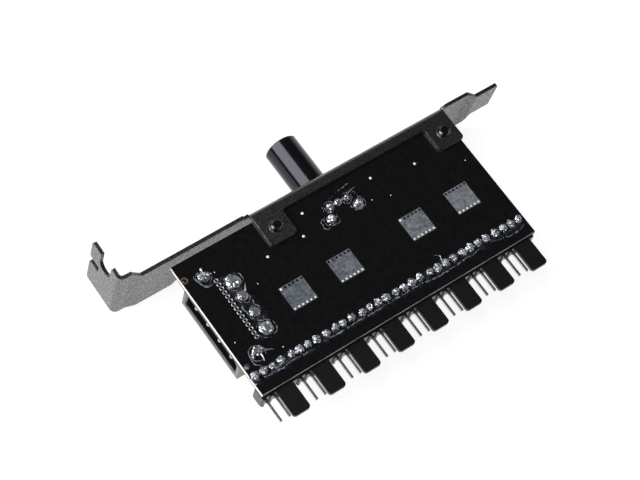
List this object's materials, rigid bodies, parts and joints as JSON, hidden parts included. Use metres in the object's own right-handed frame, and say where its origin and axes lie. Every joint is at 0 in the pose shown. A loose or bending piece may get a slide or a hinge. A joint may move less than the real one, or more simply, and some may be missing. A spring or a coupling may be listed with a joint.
{
  "type": "pc fan controller hub",
  "caption": "Fan controller hub on a folded slot bracket: flat circuit board with a row of keyed fan headers along one edge, a power inlet and a turning speed knob.",
  "frame": {"origin": "middle of the screw notch, on the face of the ear that seats on the case", "axes": "+X along the bracket from the ear to the end tongue, +Y out of the case towards the knob, +Z out of the board's solder side"},
  "size_m": [0.1191, 0.066, 0.0214],
  "materials": {
    "bracket_coat": "fine textured black powder coat on steel",
    "black_laminate": "glossy black mask on glass-fibre laminate",
    "black_screw": "black oxide on steel",
    "tinned_copper": "tinned copper",
    "tinned_brass": "bright tin plate on brass",
    "solder": "bright solder with clear flux",
    "header_plastic": "black moulded plastic",
    "inlet_plastic": "black moulded plastic",
    "knob_plastic": "polished black plastic",
    "moulding_plastic": "black moulding compound",
    "cast_metal": "bare turned metal",
    "plated_steel": "tin-plated sheet"
  },
  "bodies": {
    "hub": {"bracket": "bracket_coat", "board": "black_laminate", "board_screws": "black_screw", "heat_pads": "tinned_copper", "fan_header_1": "header_plastic", "fan_header_2": "header_plastic", "fan_header_3": "header_plastic", "fan_header_4": "header_plastic", "fan_header_5": "header_plastic", "fan_header_6": "header_plastic", "fan_header_7": "header_plastic", "fan_header_8": "header_plastic", "fan_pins_1": "tinned_brass", "fan_pins_2": "tinned_brass", "fan_pins_3": "tinned_brass", "fan_pins_4": "tinned_brass", "fan_pins_5": "tinned_brass", "fan_pins_6": "tinned_brass", "fan_pins_7": "tinned_brass", "fan_pins_8": "tinned_brass", "inlet_housing": "inlet_plastic", "inlet_pins": "tinned_brass", "inlet_locks": "tinned_brass", "transistor_1": "moulding_plastic", "transistor_2": "moulding_plastic", "transistor_3": "moulding_plastic", "transistor_4": "moulding_plastic", "transistor_leads_1": "tinned_copper", "transistor_leads_2": "tinned_copper", "transistor_leads_3": "tinned_copper", "transistor_leads_4": "tinned_copper", "pot_base": "moulding_plastic", "pot_bushing": "cast_metal", "pot_cover": "plated_steel", "pot_terminals": "tinned_brass", "fan_solder": "solder", "inlet_solder": "solder", "pot_solder": "solder"},
    "speed_knob": {"knob": "knob_plastic", "pot_shaft": "cast_metal"}
  },
  "joints": [
    {"name": "knob_turn", "type": "hinge", "parent": "hub", "child": "speed_knob", "pos_m": [0.05965, 0, -0.00745], "axis": [0, 1, 0], "range_deg": [-150, 150]}
  ]
}
